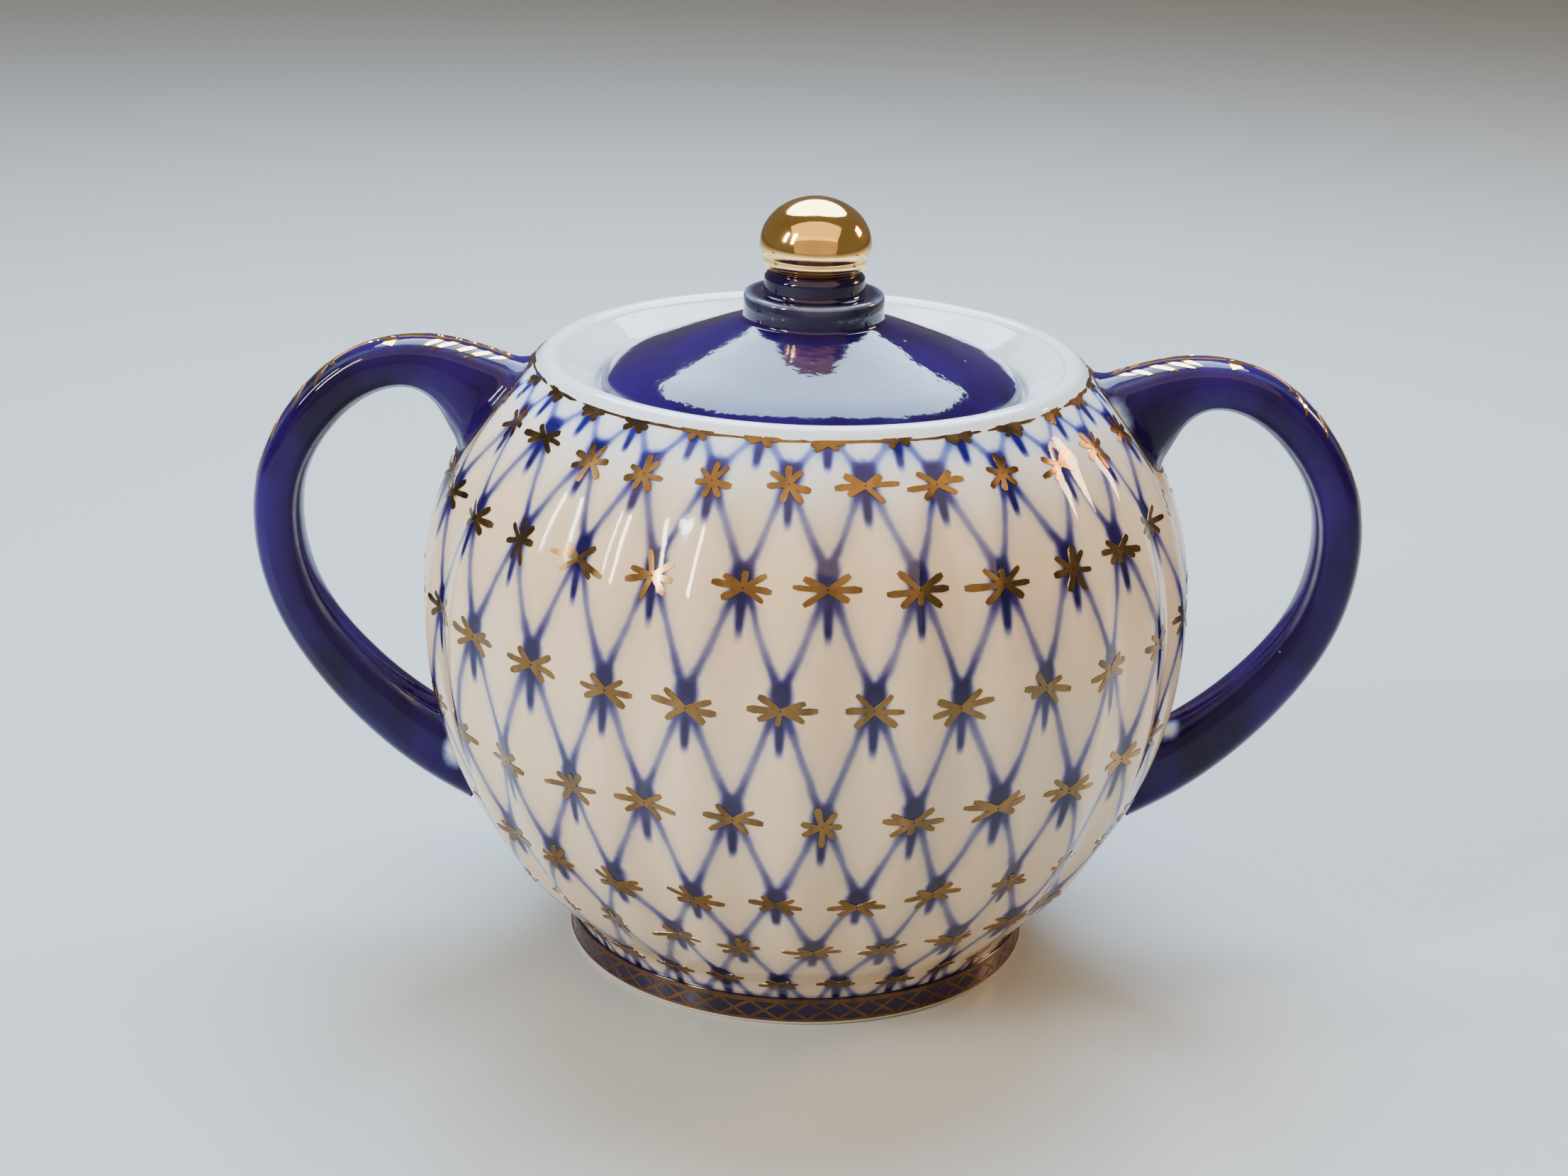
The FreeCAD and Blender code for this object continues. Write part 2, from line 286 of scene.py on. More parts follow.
class Graph:
    """Short way to write a material's nodes."""

    def __init__(self, name):
        self.material = bpy.data.materials.new(name)
        self.material.use_nodes = True
        self.tree = self.material.node_tree
        self.shader = self.tree.nodes["Principled BSDF"]
        self.place = self.add("ShaderNodeTexCoord").outputs["Object"]

    def add(self, kind, inputs=(), **settings):
        node = self.tree.nodes.new(kind)
        for key, value in settings.items():
            setattr(node, key, value)
        for key, value in dict(inputs).items():
            self.feed(node.inputs[key], value)
        return node

    def feed(self, socket, value):
        if isinstance(value, bpy.types.NodeSocket):
            self.tree.links.new(value, socket)
        else:
            socket.default_value = value

    def math(self, operation, *values, clamp=False):
        node = self.add("ShaderNodeMath", operation=operation, use_clamp=clamp)
        for socket, value in zip(node.inputs, values):
            self.feed(socket, value)
        return node.outputs[0]

    def fade(self, value, start, end, low=0.0, high=1.0):
        """low before start, high after end, smooth between; start may be larger than end."""
        node = self.add("ShaderNodeMapRange", {0: value, 1: start, 2: end, 3: low, 4: high})
        node.interpolation_type = "SMOOTHSTEP"
        return node.outputs[0]

    def noise(self, scale, detail=2.0, where=None, stretch=None):
        where = where or self.place
        if stretch:
            where = self.add("ShaderNodeMapping", {"Vector": where, "Scale": stretch}).outputs[0]
        inputs = {"Vector": where, "Scale": scale, "Detail": detail}
        return self.add("ShaderNodeTexNoise", inputs).outputs[0]

    def spots(self, scale):
        inputs = {"Vector": self.place, "Scale": scale}
        return self.add("ShaderNodeTexVoronoi", inputs).outputs

    def parts(self, vector):
        return self.add("ShaderNodeSeparateXYZ", {0: vector}).outputs

    def painted(self, label):
        return self.add("ShaderNodeAttribute", attribute_name=label).outputs["Fac"]

    def blend(self, share, first, second):
        node = self.add("ShaderNodeMix", data_type="RGBA")
        for key, value in ((0, share), (6, first), (7, second)):
            self.feed(node.inputs[key], value)
        return node.outputs[2]

    def ramp(self, value, stops):
        node = self.add("ShaderNodeValToRGB", {0: value})
        while len(node.color_ramp.elements) < len(stops):
            node.color_ramp.elements.new(0.5)
        for element, (position, colour) in zip(node.color_ramp.elements, stops):
            element.position, element.color = position, (*colour, 1)
        return node.outputs[0]

    def bump(self, height, strength, distance):
        inputs = {"Height": height, "Strength": strength, "Distance": distance}
        node = self.add("ShaderNodeBump", inputs)
        self.feed(self.shader.inputs["Normal"], node.outputs[0])

    def either(self, *values):
        """Union of soft masks."""
        left = None
        for value in values:
            gap = self.math("SUBTRACT", 1.0, value, clamp=True)
            left = gap if left is None else self.math("MULTIPLY", left, gap)
        return self.math("SUBTRACT", 1.0, left, clamp=True)

    def set(self, **values):
        for key, value in values.items():
            self.feed(self.shader.inputs[key.replace("_", " ")], value)


WHITE = (0.755, 0.600, 0.415, 1)
WHITE_SHADE = (0.70, 0.545, 0.37, 1)
PLAIN_WHITE = (0.76, 0.71, 0.63, 1)
PLAIN_SHADE = (0.73, 0.68, 0.60, 1)
PINHOLE = (0.42, 0.36, 0.30, 1)
CLAY, CLAY_LIGHT = (0.66, 0.60, 0.52, 1), (0.78, 0.74, 0.68, 1)
COOL_WHITE = (0.66, 0.75, 0.84, 1)


def glaze(graph, roughness=(0.045, 0.10), wave=0.25, gloss=0.5):
    """Clear glaze: near mirror, with slight long waves and orange peel."""
    peel = graph.noise(900, 1)
    long_waves = graph.noise(70, 2)
    height = graph.math("ADD", graph.math("MULTIPLY", peel, 0.06), long_waves)
    graph.bump(height, wave, 0.0006)
    uneven = graph.fade(graph.noise(45, 3), 0.35, 0.7, *roughness)
    graph.set(Roughness=uneven, IOR=1.5, Specular_IOR_Level=gloss)


def ground(graph, tone, shade):
    """Warm white body, a little uneven, cooler towards the rim."""
    height = graph.parts(graph.place)["Z"]
    tone = graph.blend(graph.fade(graph.noise(25, 3), 0.35, 0.65), tone, shade)
    return graph.blend(graph.fade(height, 0.084, 0.0965, 0.0, 0.85), tone, COOL_WHITE)


def net_material():
    """Cobalt net under the glaze: soft lines, a knot over each star and a tassel below it."""
    graph = Graph("porcelain_net")
    uv = graph.add("ShaderNodeUVMap", uv_map="net").outputs[0]
    sizes = graph.parts(graph.add("ShaderNodeUVMap", uv_map="net_size").outputs[0])
    pitch, rise = sizes[0], sizes[1]
    lines = graph.parts(uv)
    wobble = graph.math("MULTIPLY", graph.math("SUBTRACT", graph.noise(95, 2), 0.5), 0.085)
    offsets = []
    for axis, sign in ((0, "ADD"), (1, "SUBTRACT")):
        value = graph.math(sign, lines[axis], wobble)
        offsets.append(graph.math("SUBTRACT", value, graph.math("ROUND", value)))
    across = graph.math("MULTIPLY", graph.math("ADD", *offsets), graph.math("MULTIPLY", pitch, 0.5))
    below = graph.math("MULTIPLY", graph.math("SUBTRACT", offsets[1], offsets[0]), rise)

    flat = graph.math("POWER", graph.math("DIVIDE", 1.0, pitch), 2.0)
    steep = graph.math("POWER", graph.math("DIVIDE", 0.5, rise), 2.0)
    scale = graph.math("SQRT", graph.math("ADD", flat, steep))
    far = graph.fade(graph.math("DIVIDE", graph.math("ABSOLUTE", below), rise), 0.06, 0.46)
    uneven = graph.noise(330, 3)
    line_width = graph.math("SUBTRACT", 1.34, graph.math("MULTIPLY", far, 0.40))
    line_width = graph.math("MULTIPLY", line_width, graph.fade(uneven, 0.25, 0.75, 0.82, 1.18))
    strengths = []
    for offset in offsets:
        distance = graph.math("DIVIDE", graph.math("ABSOLUTE", offset), scale)
        core = graph.fade(graph.math("DIVIDE", distance, line_width), 1.0, 0.1)
        bleed = graph.fade(distance, 2.5, 0.3, 0.0, 0.15)
        paint = graph.math("SUBTRACT", 0.80, graph.math("MULTIPLY", far, 0.32))
        strength = graph.math("MULTIPLY", core, paint)
        strengths += [strength, bleed]

    wide = graph.math("DIVIDE", across, 1.85)
    tall = graph.math("DIVIDE", graph.math("ADD", below, 0.2), 2.1)
    squares = (graph.math("POWER", wide, 2.0), graph.math("POWER", tall, 2.0))
    knot = graph.math("SQRT", graph.math("ADD", *squares))
    knot = graph.math("ADD", knot, graph.math("MULTIPLY", graph.math("SUBTRACT", uneven, 0.5), 0.5))
    knot = graph.fade(knot, 1.38, 0.45)
    length = graph.math("MAXIMUM", graph.math("MULTIPLY", rise, 0.56), SHORTEST_TASSEL)
    length = graph.math("MINIMUM", length, LONGEST_TASSEL)
    share = graph.math("DIVIDE", below, length)
    thin = graph.math("SUBTRACT", 1.5, graph.math("MULTIPLY", share, 0.55))
    tassel = graph.fade(graph.math("DIVIDE", graph.math("ABSOLUTE", across), thin), 1.0, 0.15)
    tassel = graph.math("MULTIPLY", tassel, graph.fade(share, 1.06, 0.74))
    tassel = graph.math("MULTIPLY", tassel, graph.fade(below, -0.6, 0.6, 0.0, 0.96))
    skirt = graph.fade(graph.math("ABSOLUTE", across), 2.7, 0.5)
    skirt = graph.math("MULTIPLY", skirt, graph.fade(share, 0.85, 0.3))
    skirt = graph.math("MULTIPLY", skirt, graph.fade(below, 0.0, 1.0, 0.0, 0.46))

    painted = graph.either(*strengths, knot, tassel, skirt)
    painted = graph.math("MULTIPLY", painted, graph.fade(graph.noise(160, 3), 0.2, 0.7, 0.86, 1.10))
    tint = graph.ramp(painted, (
        (0.0, (1.0, 1.0, 1.0)), (0.18, (0.70, 0.76, 0.96)), (0.48, (0.24, 0.30, 0.72)),
        (0.78, (0.046, 0.048, 0.31)), (1.0, (0.009, 0.007, 0.12))))
    colour = graph.add("ShaderNodeMix", data_type="RGBA", blend_type="MULTIPLY")
    for key, value in ((0, 1.0), (6, ground(graph, WHITE, WHITE_SHADE)), (7, tint)):
        graph.feed(colour.inputs[key], value)
    graph.set(Base_Color=colour.outputs[2])
    glaze(graph)
    return graph.material


def white_material():
    """Undecorated glaze with sparse pinholes."""
    graph = Graph("porcelain_white")
    pinhole = graph.fade(graph.spots(160.0)["Distance"], 0.045, 0.02)
    colour = ground(graph, PLAIN_WHITE, PLAIN_SHADE)
    graph.set(Base_Color=graph.blend(pinhole, colour, PINHOLE))
    glaze(graph)
    return graph.material


def clay_material():
    """Unglazed, finely ground foot."""
    graph = Graph("bare_clay")
    grain = graph.noise(1500, 3)
    graph.set(Base_Color=graph.blend(graph.noise(180, 4), CLAY, CLAY_LIGHT))
    graph.set(Roughness=graph.fade(grain, 0.3, 0.7, 0.62, 0.82))
    graph.bump(grain, 0.35, 0.0003)
    return graph.material


DEEP = (0.0040, 0.0005, 0.022, 1)
BRIGHT = (0.0130, 0.0013, 0.075, 1)
HANDLE_BRIGHT = (0.018, 0.0022, 0.118, 1)
# Pale blue of thin glaze, also used as a painted highlight along edges.
THIN_GLAZE_AND_HIGHLIGHT = (0.26, 0.34, 0.46, 1)
COBALT_PINHOLE = (0.22, 0.20, 0.42, 1)
PATCH_EDGE = (0.17, 0.22, 0.45, 1)
PATCH = (0.60, 0.65, 0.71, 1)
BAND_BOTTOM_BROWN = (0.20, 0.13, 0.09, 1)


def cobalt(graph, stretch, bright=BRIGHT):
    """Deep cobalt with brush streaks and a few pinholes in the glaze."""
    streaks = graph.noise(60, 4, stretch=stretch)
    clouds = graph.noise(38, 3)
    share = graph.fade(graph.math("ADD", streaks, graph.math("MULTIPLY", clouds, 0.6)), 0.58, 1.02)
    colour = graph.blend(share, DEEP, bright)
    spots = graph.spots(210.0)
    rare = graph.math("GREATER_THAN", graph.parts(spots["Color"])[0], 0.8)
    pinhole = graph.math("MULTIPLY", graph.fade(spots["Distance"], 0.075, 0.035), rare)
    return graph.blend(pinhole, colour, COBALT_PINHOLE)


def lid_material():
    """Cobalt of the lid, with painted shade darkening its collar and neck, and paler at its edges,
    partly thin glaze and partly a painted highlight.
    """
    graph = Graph("cobalt_lid")
    edge = graph.painted("thin_glaze_and_highlight")
    uneven = graph.fade(graph.noise(240, 3), 0.3, 0.7, 0.35, 1.0)
    height = graph.parts(graph.place)["Z"]
    # Painted shade: the collar and neck, above about 102 mm, are darkened towards deep cobalt.
    painted_collar_shade = graph.fade(height, 0.1020, 0.1045, 0.0, 0.85)
    colour = graph.blend(painted_collar_shade, cobalt(graph, (1, 1, 1)), DEEP)
    graph.set(Base_Color=graph.blend(graph.math("MULTIPLY", edge, uneven), colour, THIN_GLAZE_AND_HIGHLIGHT))
    glaze(graph, (0.05, 0.10), 0.60, 0.46)
    return graph.material


def handle_material():
    """Cobalt that is pale blue along the corners, partly thin glaze and partly a painted highlight,
    and leaves white patches at the roots.
    """
    graph = Graph("cobalt_handle")
    edge = graph.painted("thin_glaze_and_highlight")
    bare = graph.painted("bare_patch")
    uneven = graph.fade(graph.noise(190, 3), 0.28, 0.72, 0.45, 1.0)
    share = graph.math("MULTIPLY", edge, uneven)
    colour = graph.blend(share, cobalt(graph, (1, 0.35, 0.6), HANDLE_BRIGHT), THIN_GLAZE_AND_HIGHLIGHT)
    rough_edge = graph.math("SUBTRACT", graph.noise(170, 4), 0.5)
    ragged = graph.math("ADD", bare, graph.math("MULTIPLY", rough_edge, 0.7))
    colour = graph.blend(graph.fade(ragged, 0.28, 0.62), colour, PATCH_EDGE)
    colour = graph.blend(graph.fade(ragged, 0.48, 0.80), colour, PATCH)
    graph.set(Base_Color=colour)
    glaze(graph, (0.05, 0.11), 0.32, 0.27)
    return graph.material


def gold_material(name, roughness, colour, worn):
    """Burnished gold film with faint brush lines."""
    graph = Graph(name)
    brush = graph.noise(420, 3, stretch=(1, 1, 0.25))
    graph.set(Base_Color=graph.blend(graph.fade(brush, 0.3, 0.75), colour, worn))
    graph.set(Metallic=1.0, Roughness=graph.fade(graph.noise(260, 3), 0.3, 0.7, *roughness))
    graph.bump(brush, 0.12, 0.0002)
    return graph.material


def band_material():
    """Cobalt ground of the foot band, darkened as painted shade, and browner towards its bottom
    edge.
    """
    graph = Graph("cobalt_band")
    height = graph.parts(graph.place)["Z"]
    low = graph.fade(height, 0.0011, 0.0006)
    # Painted shade: the band's cobalt is darkened towards deep cobalt.
    deep = graph.blend(0.6, cobalt(graph, (1, 1, 1)), DEEP)
    graph.set(Base_Color=graph.blend(low, deep, BAND_BOTTOM_BROWN))
    glaze(graph)
    return graph.material


net, white, clay, band = net_material(), white_material(), clay_material(), band_material()
cobalt_lid, cobalt_handle = lid_material(), handle_material()
gold = gold_material(
    "gold_film", (0.17, 0.30), (0.29, 0.17, 0.062, 1), (0.16, 0.10, 0.046, 1))
# Brighter gold: partly a burnished finish with lower roughness, partly painted light standing in
# for direct light on the knob and sprigs.
gold_bright = gold_material(
    "gold_burnished_lit", (0.05, 0.11), (0.95, 0.60, 0.19, 1), (0.88, 0.52, 0.15, 1))
# Darker gold: painted shade on the foot lattice; also used for the joint lines.
gold_dark = gold_material(
    "gold_worn_and_shaded", (0.30, 0.44), (0.17, 0.095, 0.048, 1), (0.10, 0.058, 0.034, 1))


# ---------------------------------------------------------------- bowl

row_lengths = np.interp(ROWS, Z, S)
row_lengths[-1] = row_lengths[-2] - (ROWS[-2] - ROWS[-1])
KNOTS = row_lengths + KNOT_ABOVE_STAR
SHIFT = np.array([
    [(rng.gauss(0, HAND), rng.gauss(0, HAND * 0.8)) for _ in range(COLUMNS)] for _ in ROWS])


def pitch_at(length):
    return TURN * np.interp(length, S, R) / COLUMNS


def net_coordinates(angle, length):
    """Numbers that are whole on the net's two families of lines, and the net's pitch and rise."""
    column = (angle - FIRST_COLUMN) / TURN * COLUMNS
    row = np.interp(-length, -KNOTS, np.arange(len(ROWS)))
    row += np.maximum(0, length - KNOTS[0]) / (KNOTS[1] - KNOTS[0])
    gap = np.clip(row, 0.001, len(ROWS) - 1.001) // 1
    rise = np.interp(gap, np.arange(len(ROWS) - 1), -np.diff(KNOTS))
    pitch = pitch_at(length)
    a, b = column - row / 2, column + row / 2
    low_a, low_b = np.floor(a).astype(int), np.floor(b).astype(int)
    shift = np.zeros((*np.shape(a), 2))
    for up_a in (0, 1):
        for up_b in (0, 1):
            na, nb = low_a + up_a, low_b + up_b
            share_a = a - low_a if up_a else 1 - a + low_a
            share_b = b - low_b if up_b else 1 - b + low_b
            share = share_a * share_b
            k = nb - na
            inside = (k >= 0) & (k < len(ROWS))
            shift += (share * inside)[..., None] * SHIFT[np.clip(k, 0, len(ROWS) - 1), na % COLUMNS]
    column = column - shift[..., 0] / pitch
    row = row + shift[..., 1] / rise
    return column - row / 2, column + row / 2, pitch, rise


NET_SLOT, WHITE_SLOT, BAND_SLOT, CLAY_SLOT = range(4)


def bowl():
    """Whole bowl in one mesh: foot, lobed belly, lip, gallery, ledge and inside."""
    underside = rounded([
        (0, 3.6, 0), (33.6, 3.6, 0.6), (33.6, 0.4, 0.2), (34.1, 0, 0.2), (36.6, 0, 0.25),
        (37.2, 0.8, 0.3), (37.2, 4.6, 0.25), (36.75, 4.65, 0)])
    lengths = np.linspace(belly_length(4.75), S[-1] - 0.3, 92)
    lip = rounded(
        [(42.62, 96.1, 0)] + arc((42.35, 96.45), (38.7, 96.6), 2.3, -1, 10)
        + [(38.7, 96.6, 0.5), (33.6, 92.8, 0.6), (33.4, 91.6, 0.3), (29.8, 91.6, 0.5),
           (29.8, 88.6, 0.5), (36.5, 88.6, 0.5)]
        + arc((40.9, 93), (57, 58.5), 45.0, 1, 14) + arc((57, 58.5), (27, 8.5), 56.67, 1, 22)
        + [(27, 8.5, 1.5), (0, 8.5, 0)])
    angles = np.arange(STEPS_ROUND) / STEPS_ROUND * TURN
    rows, kinds = [], []
    for r, z in underside[1:]:
        rows.append(circle(r, z, angles))
        kinds.append(WHITE_SLOT if r < 33.9 and z > 0.35 else CLAY_SLOT if z < 0.7 else BAND_SLOT)
    first_belly = len(rows)
    for length in lengths:
        rows.append(on_belly(angles, np.full(STEPS_ROUND, length)))
        kinds.append(NET_SLOT)
    for r, z in lip[1:-1]:
        rows.append(circle(r, z, angles))
        kinds.append(WHITE_SLOT)
    points = np.concatenate(rows).tolist()
    faces = ring_faces(len(rows), STEPS_ROUND)
    picks = [kinds[i] for i in range(1, len(rows)) for _ in range(STEPS_ROUND)]
    last = (len(rows) - 1) * STEPS_ROUND
    for at, z, flip in ((0, underside[0][1], True), (last, lip[-1][1], False)):
        centre = len(points)
        points.append((0, 0, z))
        for j in range(STEPS_ROUND):
            pair = (at + j, at + (j + 1) % STEPS_ROUND)
            faces.append((centre, *(reversed(pair) if flip else pair)))
            picks.append(WHITE_SLOT)
    piece = make_mesh("bowl_porcelain", points, faces, [net, white, band, clay],
                      "bowl", picks)
    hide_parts("bowl_body")

    ids = np.zeros(len(piece.data.loops), int)
    piece.data.loops.foreach_get("vertex_index", ids)
    row_of, step_of = ids // STEPS_ROUND, ids % STEPS_ROUND
    polygon_steps = np.zeros(len(ids))
    for polygon in piece.data.polygons:
        if polygon.index < len(rows) * STEPS_ROUND - STEPS_ROUND:
            column = polygon.index % STEPS_ROUND
            for k in polygon.loop_indices:
                wraps = column == STEPS_ROUND - 1 and step_of[k] == 0
                polygon_steps[k] = STEPS_ROUND if wraps else step_of[k]
    angle = polygon_steps / STEPS_ROUND * TURN
    length = np.interp(row_of, np.arange(first_belly, first_belly + len(lengths)), lengths)
    a, b, pitch, rise = net_coordinates(angle, length)
    for name, pair in (("net", (a, b)), ("net_size", (pitch, rise))):
        layer = piece.data.uv_layers.new(name=name)
        layer.data.foreach_set("uv", np.stack(pair, 1).astype(np.float32).ravel())
    return piece


# Half widths of a star's rays, the rows' sizes, and the share of stars with even rays.
STAR_ROOT, STAR_TIP = 0.40, 0.54
STAR_SIZES = (0.86, 0.95, 1.06, 1.06, 1.06, 0.92, 0.88, 0.66)
EVEN_STARS = (0, 0.5, 0.3, 0.15, 0.1, 0.1, 0.1, 0.1)


def star(strokes, row, column):
    """One gilt star under its knot, each drawn a little differently."""
    shift = SHIFT[row, column]
    length = row_lengths[row] + shift[1]
    angle = FIRST_COLUMN + (column + row / 2) / COLUMNS * TURN
    radius = float(np.interp(length, S, R))
    angle += shift[0] / radius

    def place(x, y, lift):
        return on_belly(angle + x / radius, np.clip(length + y, 0.5, S[-1] - 0.15), lift)

    size = STAR_SIZES[row] * rng.uniform(0.92, 1.08)
    tilt = math.radians(rng.gauss(0, 5))
    if row == 0:
        rays = [(2, 3.3), (178, 3.3), (-38, 2.7), (-142, 2.7)]
    elif rng.random() < EVEN_STARS[row]:
        rays = [(rng.uniform(-8, 8) + k * 51.4, 3.8) for k in range(7)]
    else:
        rays = [(0, 5.4), (180, 5.4), (33, 3.9), (147, 3.9), (-33, 3.9), (-147, 3.9)]
        if rng.random() < 0.2:
            rays.append((rng.choice((90, -90)), 2.4))
    for degrees, reach in rays:
        heading = math.radians(degrees + rng.gauss(0, 5)) + tilt
        reach *= size * rng.uniform(0.86, 1.12)
        root = np.array((math.cos(heading), math.sin(heading))) * 0.12
        tip = STAR_TIP * rng.uniform(0.8, 1.2)
        line, width = brushed(root, heading, reach, STAR_ROOT, tip, rng.gauss(0, 0.14))
        strokes.add(place, line, width)


def gilding():
    """Stars, rim line and foot lattice."""
    stars = Strokes()
    for row in range(len(ROWS) - 1):
        for column in range(COLUMNS):
            star(stars, row, column)
    stars.finish("gilt_stars", gold, "bowl")

    rim = Strokes(0.07)
    at, radius = 0.0, 42.4
    while at < TURN - 0.05:
        span = rng.uniform(0.05, 0.34)
        steps = max(4, int(span / 0.03))
        angle = np.linspace(at, min(at + span, TURN), steps)
        height = S[-1] - 0.55 + rng.gauss(0, 0.06)
        wave = np.array([rng.gauss(0, 0.05) for _ in range(steps)])
        width = 0.20 * rng.uniform(0.7, 1.3) + np.abs(wave)
        width[0] = width[-1] = 0.08
        rim.add(lambda x, y, lift: on_belly(x / radius, np.minimum(y, S[-1] - 0.1), lift),
                np.stack((angle * radius, height + wave), 1), width)
        at += span + rng.uniform(0.006, 0.05)
    rim.finish("gilt_rim_line", gold, "bowl")

    def on_foot(x, y, lift):
        reach, angle = FOOT_RADIUS + lift, x / FOOT_RADIUS
        return np.stack((reach * np.sin(angle), -reach * np.cos(angle), y), -1)

    lattice = Strokes(0.05)
    crossings, low, high = 50, 1.05, 4.0
    pitch = TURN * FOOT_RADIUS / crossings
    for k in range(crossings):
        for sign in (-1, 1):
            shake = rng.gauss(0, 0.12)
            t = np.linspace(0, 1, 7)
            x = (k + shake / pitch + sign * (t - 0.5)) * pitch
            line = np.stack((x, low + (high - low) * t), 1)
            lattice.add(on_foot, line, np.full(7, 0.25 * rng.uniform(0.85, 1.15)))
    for height, width in ((low - 0.05, 0.24), (high + 0.16, 0.34)):
        x = np.linspace(0, TURN * FOOT_RADIUS, 181)
        wave = 0.05 * np.sin(x * 0.9 + height) * np.sin(x / FOOT_RADIUS / 2) ** 2
        lattice.add(on_foot, np.stack((x, height + wave), 1), np.full(181, width))
    # The darker gold here is painted shade on the foot.
    lattice.finish("gilt_foot_lattice", gold_dark, "bowl")


# ---------------------------------------------------------------- handles

nodes = np.array(HANDLE_LINE)
chords = np.concatenate(([0], np.cumsum(np.hypot(*np.diff(nodes[:, :2], axis=0).T))))
handle_at = spline(chords, nodes)


def handle_frame(along):
    """Centre, outward direction and half sizes of the handle at a distance along its line."""
    here = handle_at(along)
    ahead = handle_at(along + 0.01) - handle_at(along - 0.01)
    ahead = ahead[..., :2] / np.linalg.norm(ahead[..., :2], axis=-1, keepdims=True)
    outward = np.stack((-ahead[..., 1], ahead[..., 0]), -1)
    return here[..., :2], outward, here[..., 2], here[..., 3] * HANDLE_HALF_WIDTH


def on_handle(along, around, swell=0.0):
    """Points of the right handle; around is 0 on its back and a half turn on its inside."""
    centre, outward, thick, wide = handle_frame(along)
    up, across = np.cos(around), np.sin(around)
    up = np.sign(up) * np.abs(up) ** (2 / SECTION_POWER) * (thick + swell)
    across = np.sign(across) * np.abs(across) ** (2 / SECTION_POWER) * (wide + swell)
    flat = centre + outward * up[..., None]
    return np.stack((flat[..., 0], across, flat[..., 1]), -1)


def on_handle_back(along, across, lift):
    """Points on the handle's outer face, at a distance from its back line."""
    centre, outward, thick, wide = handle_frame(along)
    share = np.clip(np.abs(across) / wide, 0, 0.97)
    up = thick * (1 - share ** SECTION_POWER) ** (1 / SECTION_POWER)
    steep = (share ** (SECTION_POWER - 1) / wide) / ((up / thick) ** (SECTION_POWER - 1) / thick)
    size = np.hypot(1, steep)
    flat = centre + outward * (up + lift / size)[..., None]
    sideways = across + np.sign(across) * lift * steep / size
    return np.stack((flat[..., 0], sideways, flat[..., 1]), -1)


def outside_belly(points):
    """Distance outside the bowl's surface, measured along its radius and squared to its slope."""
    r, z = np.hypot(points[..., 0], points[..., 1]), points[..., 2]
    slope = np.interp(z, Z, SLOPE)
    return (r - np.interp(z, Z, R)) / np.hypot(1, slope)


AROUND = np.arange(72) / 72 * TURN
middle = chords[-1] / 2


def root_of(angle, upper, depth):
    """How far along the line the handle's side at this angle passes the given depth in the bowl."""
    along = np.linspace(middle, 0.02 if upper else chords[-1] - 0.02, 900)
    gap = outside_belly(on_handle(along, np.full(900, angle)))
    inside = np.argmax(gap < depth)
    return float(along[inside if gap.min() < depth else -1])


def handle(name, node, side):
    """Handle with a small glaze fillet at both roots; side is +1 or -1 along X."""
    starts = np.array([root_of(a, True, -1.0) for a in AROUND])
    ends = np.array([root_of(a, False, -1.0) for a in AROUND])
    shares = np.linspace(0, 1, 131)
    shares = shares - 0.06 * np.sin(TURN * shares)
    rows = []
    for share in shares:
        along = starts + (ends - starts) * share
        plain = on_handle(along, AROUND)
        near = np.clip(1 - outside_belly(plain) / 2.2, 0, 1)
        rows.append(on_handle(along, AROUND, JOINT_FILLET * near ** 2.2))
    points = np.stack(rows)
    count = len(AROUND)
    # Pale corners: partly thin glaze, partly a painted highlight; strongest on the inner corners
    # and towards the handle's top.
    corner = np.abs(np.abs(AROUND - math.pi) - math.radians(43))
    inner = np.exp(-(corner / math.radians(5.5)) ** 2)
    outer = np.exp(-((np.abs(np.abs(AROUND - math.pi) - math.radians(141))) / math.radians(6)) ** 2)
    thin = np.broadcast_to(inner * 0.95 + outer * 0.15, points.shape[:2])
    thin = thin * np.clip((points[..., 2] - 48) / 22, 0.12, 1)
    x, y, z = points[..., 0], points[..., 1], points[..., 2]

    def patch(cx, cy, cz, rx, ry, rz):
        return np.exp(-(((x - cx) / rx) ** 2 + ((y - cy) / ry) ** 2 + ((z - cz) / rz) ** 2))

    bare = patch(56.6, 0, 79.0, 2.6, 6.5, 3.0) * (0.75 if side > 0 else 1.15)
    bare += patch(46.4, -6.0, 88.0, 3.0, 3.4, 5.0) * (1.15 if side > 0 else 0.5)
    bare += patch(59.0, -3.5, 38.5, 2.0, 3.0, 3.0) * (0.9 if side > 0 else 0.3)
    bare += patch(55.5, -4.5, 31.0, 2.4, 3.0, 2.8) * (0.2 if side > 0 else 0.9)
    bare += patch(57.5, 4.5, 37.0, 3.0, 3.0, 2.8) * 0.9
    points = points * (side, 1, 1)
    faces = ring_faces(len(shares), count, 0, True, True)
    if side > 0:
        faces = [tuple(reversed(f)) for f in faces]
    piece = make_mesh(name, points.reshape(-1, 3), faces, [cobalt_handle], "bowl")
    for label, values in (("thin_glaze_and_highlight", thin), ("bare_patch", bare)):
        attribute = piece.data.attributes.new(label, "FLOAT", "POINT")
        attribute.data.foreach_set("value", np.clip(values, 0, 1.2).astype(np.float32).ravel())
    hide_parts(node)
    return piece


